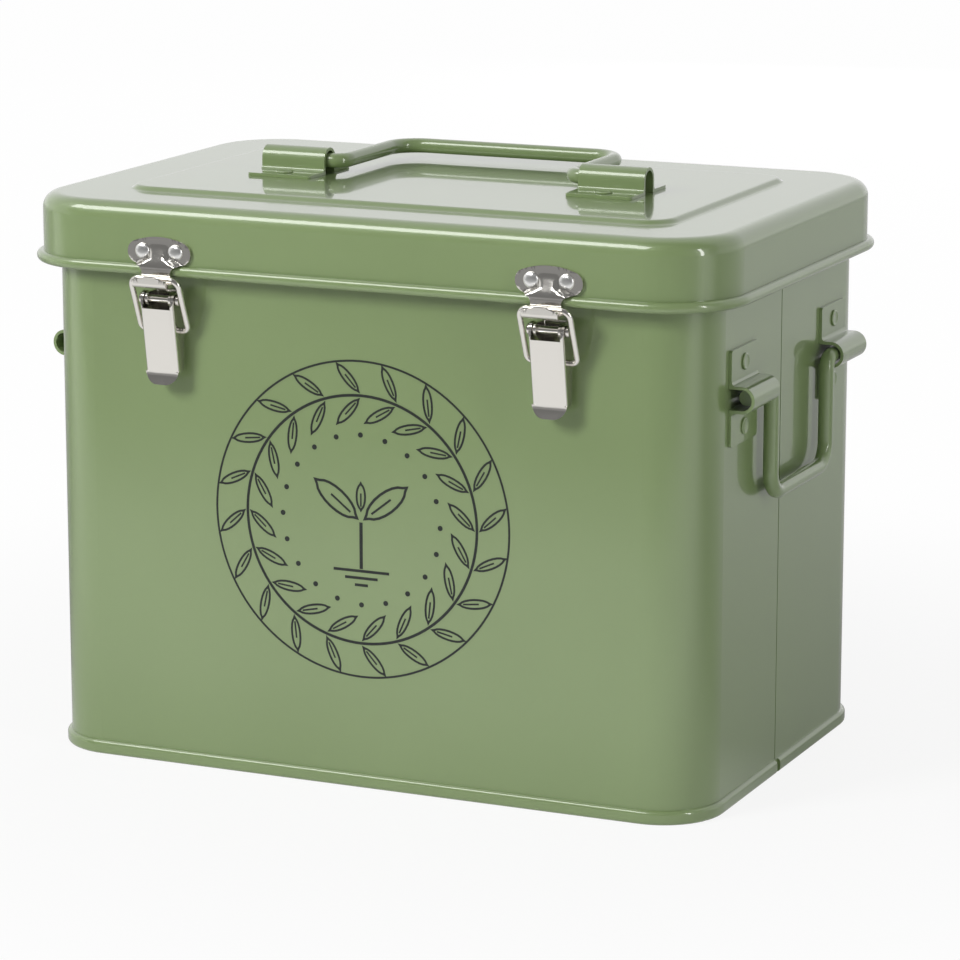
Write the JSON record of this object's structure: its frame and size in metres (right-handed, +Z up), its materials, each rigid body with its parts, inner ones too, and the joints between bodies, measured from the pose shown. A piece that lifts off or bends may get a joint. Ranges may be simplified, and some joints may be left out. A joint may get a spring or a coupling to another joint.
{
  "type": "garden seed organizer box",
  "caption": "Enamelled tin box with hinged lid, wire bail handles on lid and sides, two toggle latches and tabbed divider cards for seed packets.",
  "frame": {"origin": "on the ground under the middle of the box", "axes": "+Z up, +X to the box's right side, -Y its front with the latches"},
  "size_m": [0.215, 0.1555, 0.1697],
  "materials": {
    "sage_enamel": "gloss",
    "nickel_plate": "bright nickel plate",
    "card": "matt"
  },
  "bodies": {
    "box": {"box_body": "sage_enamel", "box_base": "sage_enamel", "side_clip_left_front": "sage_enamel", "side_clip_left_back": "sage_enamel", "side_clip_right_front": "sage_enamel", "side_clip_right_back": "sage_enamel", "side_clip_rivets_left": "sage_enamel", "latch_base_left": "nickel_plate", "latch_base_rivets_left": "nickel_plate", "latch_pin_left": "nickel_plate", "hinge_box_leaf_left": "nickel_plate", "hinge_pin_left": "nickel_plate", "divider_cards_left": "card", "side_clip_rivets_right": "sage_enamel", "latch_base_right": "nickel_plate", "latch_base_rivets_right": "nickel_plate", "latch_pin_right": "nickel_plate", "hinge_box_leaf_right": "nickel_plate", "hinge_pin_right": "nickel_plate", "divider_cards_right": "card", "hinge_rivets_box": "nickel_plate", "centre_partition": "sage_enamel"},
    "lid": {"lid_shell": "sage_enamel", "lid_clip_left": "sage_enamel", "latch_keeper_left": "nickel_plate", "keeper_rivets_left": "nickel_plate", "hinge_lid_leaf_left": "nickel_plate", "lid_clip_right": "sage_enamel", "latch_keeper_right": "nickel_plate", "keeper_rivets_right": "nickel_plate", "hinge_lid_leaf_right": "nickel_plate", "lid_clip_rivets": "sage_enamel", "hinge_rivets_lid": "nickel_plate"},
    "lid_handle_body": {"lid_handle": "sage_enamel"},
    "side_handle_left_body": {"side_handle_left": "sage_enamel"},
    "side_handle_right_body": {"side_handle_right": "sage_enamel"},
    "latch_lever_left_body": {"latch_lever_left": "nickel_plate"},
    "latch_lever_right_body": {"latch_lever_right": "nickel_plate"},
    "latch_loop_left_body": {"latch_loop_left": "nickel_plate"},
    "latch_loop_right_body": {"latch_loop_right": "nickel_plate"}
  },
  "joints": [
    {"name": "lid_hinge", "type": "hinge", "parent": "box", "child": "lid", "pos_m": [0, 0.07515, 0.142], "axis": [-1, 0, 0], "range_deg": [0, 110]},
    {"name": "lid_handle_swing", "type": "hinge", "parent": "lid", "child": "lid_handle_body", "pos_m": [0, -0.003, 0.16595], "axis": [1, 0, 0], "range_deg": [0, 180]},
    {"name": "side_handle_swing_left", "type": "hinge", "parent": "box", "child": "side_handle_left_body", "pos_m": [-0.10375, 0, 0.115], "axis": [0, 1, 0], "range_deg": [0, 160]},
    {"name": "side_handle_swing_right", "type": "hinge", "parent": "box", "child": "side_handle_right_body", "pos_m": [0.10375, 0, 0.115], "axis": [0, -1, 0], "range_deg": [0, 160]},
    {"name": "latch_lever_turn_left", "type": "hinge", "parent": "box", "child": "latch_lever_left_body", "pos_m": [-0.0585, -0.071, 0.135], "axis": [-1, 0, 0], "range_deg": [0, 90]},
    {"name": "latch_loop_turn_left", "type": "hinge", "parent": "latch_lever_left_body", "child": "latch_loop_left_body", "pos_m": [-0.0585, -0.06857, 0.12602], "axis": [-1, 0, 0], "range_deg": [-45, 0]},
    {"name": "latch_lever_turn_right", "type": "hinge", "parent": "box", "child": "latch_lever_right_body", "pos_m": [0.0585, -0.071, 0.135], "axis": [-1, 0, 0], "range_deg": [0, 90]},
    {"name": "latch_loop_turn_right", "type": "hinge", "parent": "latch_lever_right_body", "child": "latch_loop_right_body", "pos_m": [0.0585, -0.06857, 0.12602], "axis": [-1, 0, 0], "range_deg": [-45, 0]}
  ],
  "couplings": [
    {"joint": "latch_loop_turn_left", "follows": "latch_lever_turn_left", "ratio": -0.5},
    {"joint": "latch_loop_turn_right", "follows": "latch_lever_turn_right", "ratio": -0.5}
  ]
}
